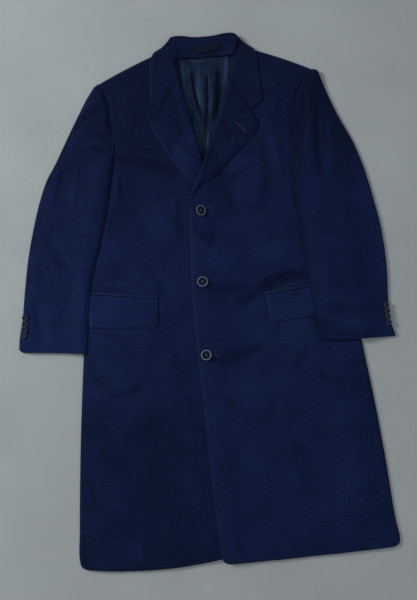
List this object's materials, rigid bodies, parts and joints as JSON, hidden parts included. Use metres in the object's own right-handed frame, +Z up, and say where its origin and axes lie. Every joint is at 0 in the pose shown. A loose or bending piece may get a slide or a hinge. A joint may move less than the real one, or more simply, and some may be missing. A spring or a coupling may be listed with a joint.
{
  "type": "coat",
  "caption": "Single-breasted navy wool overcoat with notch lapels and flap pockets, buttoned and laid flat on its back, with its sleeves beside the body",
  "frame": {"origin": "Centre of the laid coat's bounding box, on the surface that its back lies on.", "axes": "+Y runs up the coat towards the collar, +X to the right of somebody who looks down on the front, which is the wearer's left, and +Z up from the surface."},
  "size_m": [0.865, 1.2159, 0.0241],
  "materials": {
    "wool": "felted navy wool with a short nap",
    "lining": "dark navy satin",
    "label": "dark woven tape, bare",
    "button": "polished dark blue-black"
  },
  "bodies": {
    "root": {"back": "wool", "lining_back": "lining", "front_under": "wool", "front_over": "wool", "lapel_under": "wool", "lapel_over": "wool", "collar_leaf": "wool", "collar_stand": "wool", "under_sleeve_left": "wool", "top_sleeve_left": "wool", "under_sleeve_right": "wool", "top_sleeve_right": "wool", "pocket_welt_left": "wool", "pocket_flap_left": "wool", "pocket_welt_right": "wool", "pocket_flap_right": "wool", "neck_label": "label", "front_button_1": "button", "front_button_2": "button", "front_button_3": "button", "cuff_button_left_1": "button", "cuff_button_left_2": "button", "cuff_button_left_3": "button", "cuff_button_left_4": "button", "cuff_button_right_1": "button", "cuff_button_right_2": "button", "cuff_button_right_3": "button", "cuff_button_right_4": "button"}
  },
  "joints": []
}
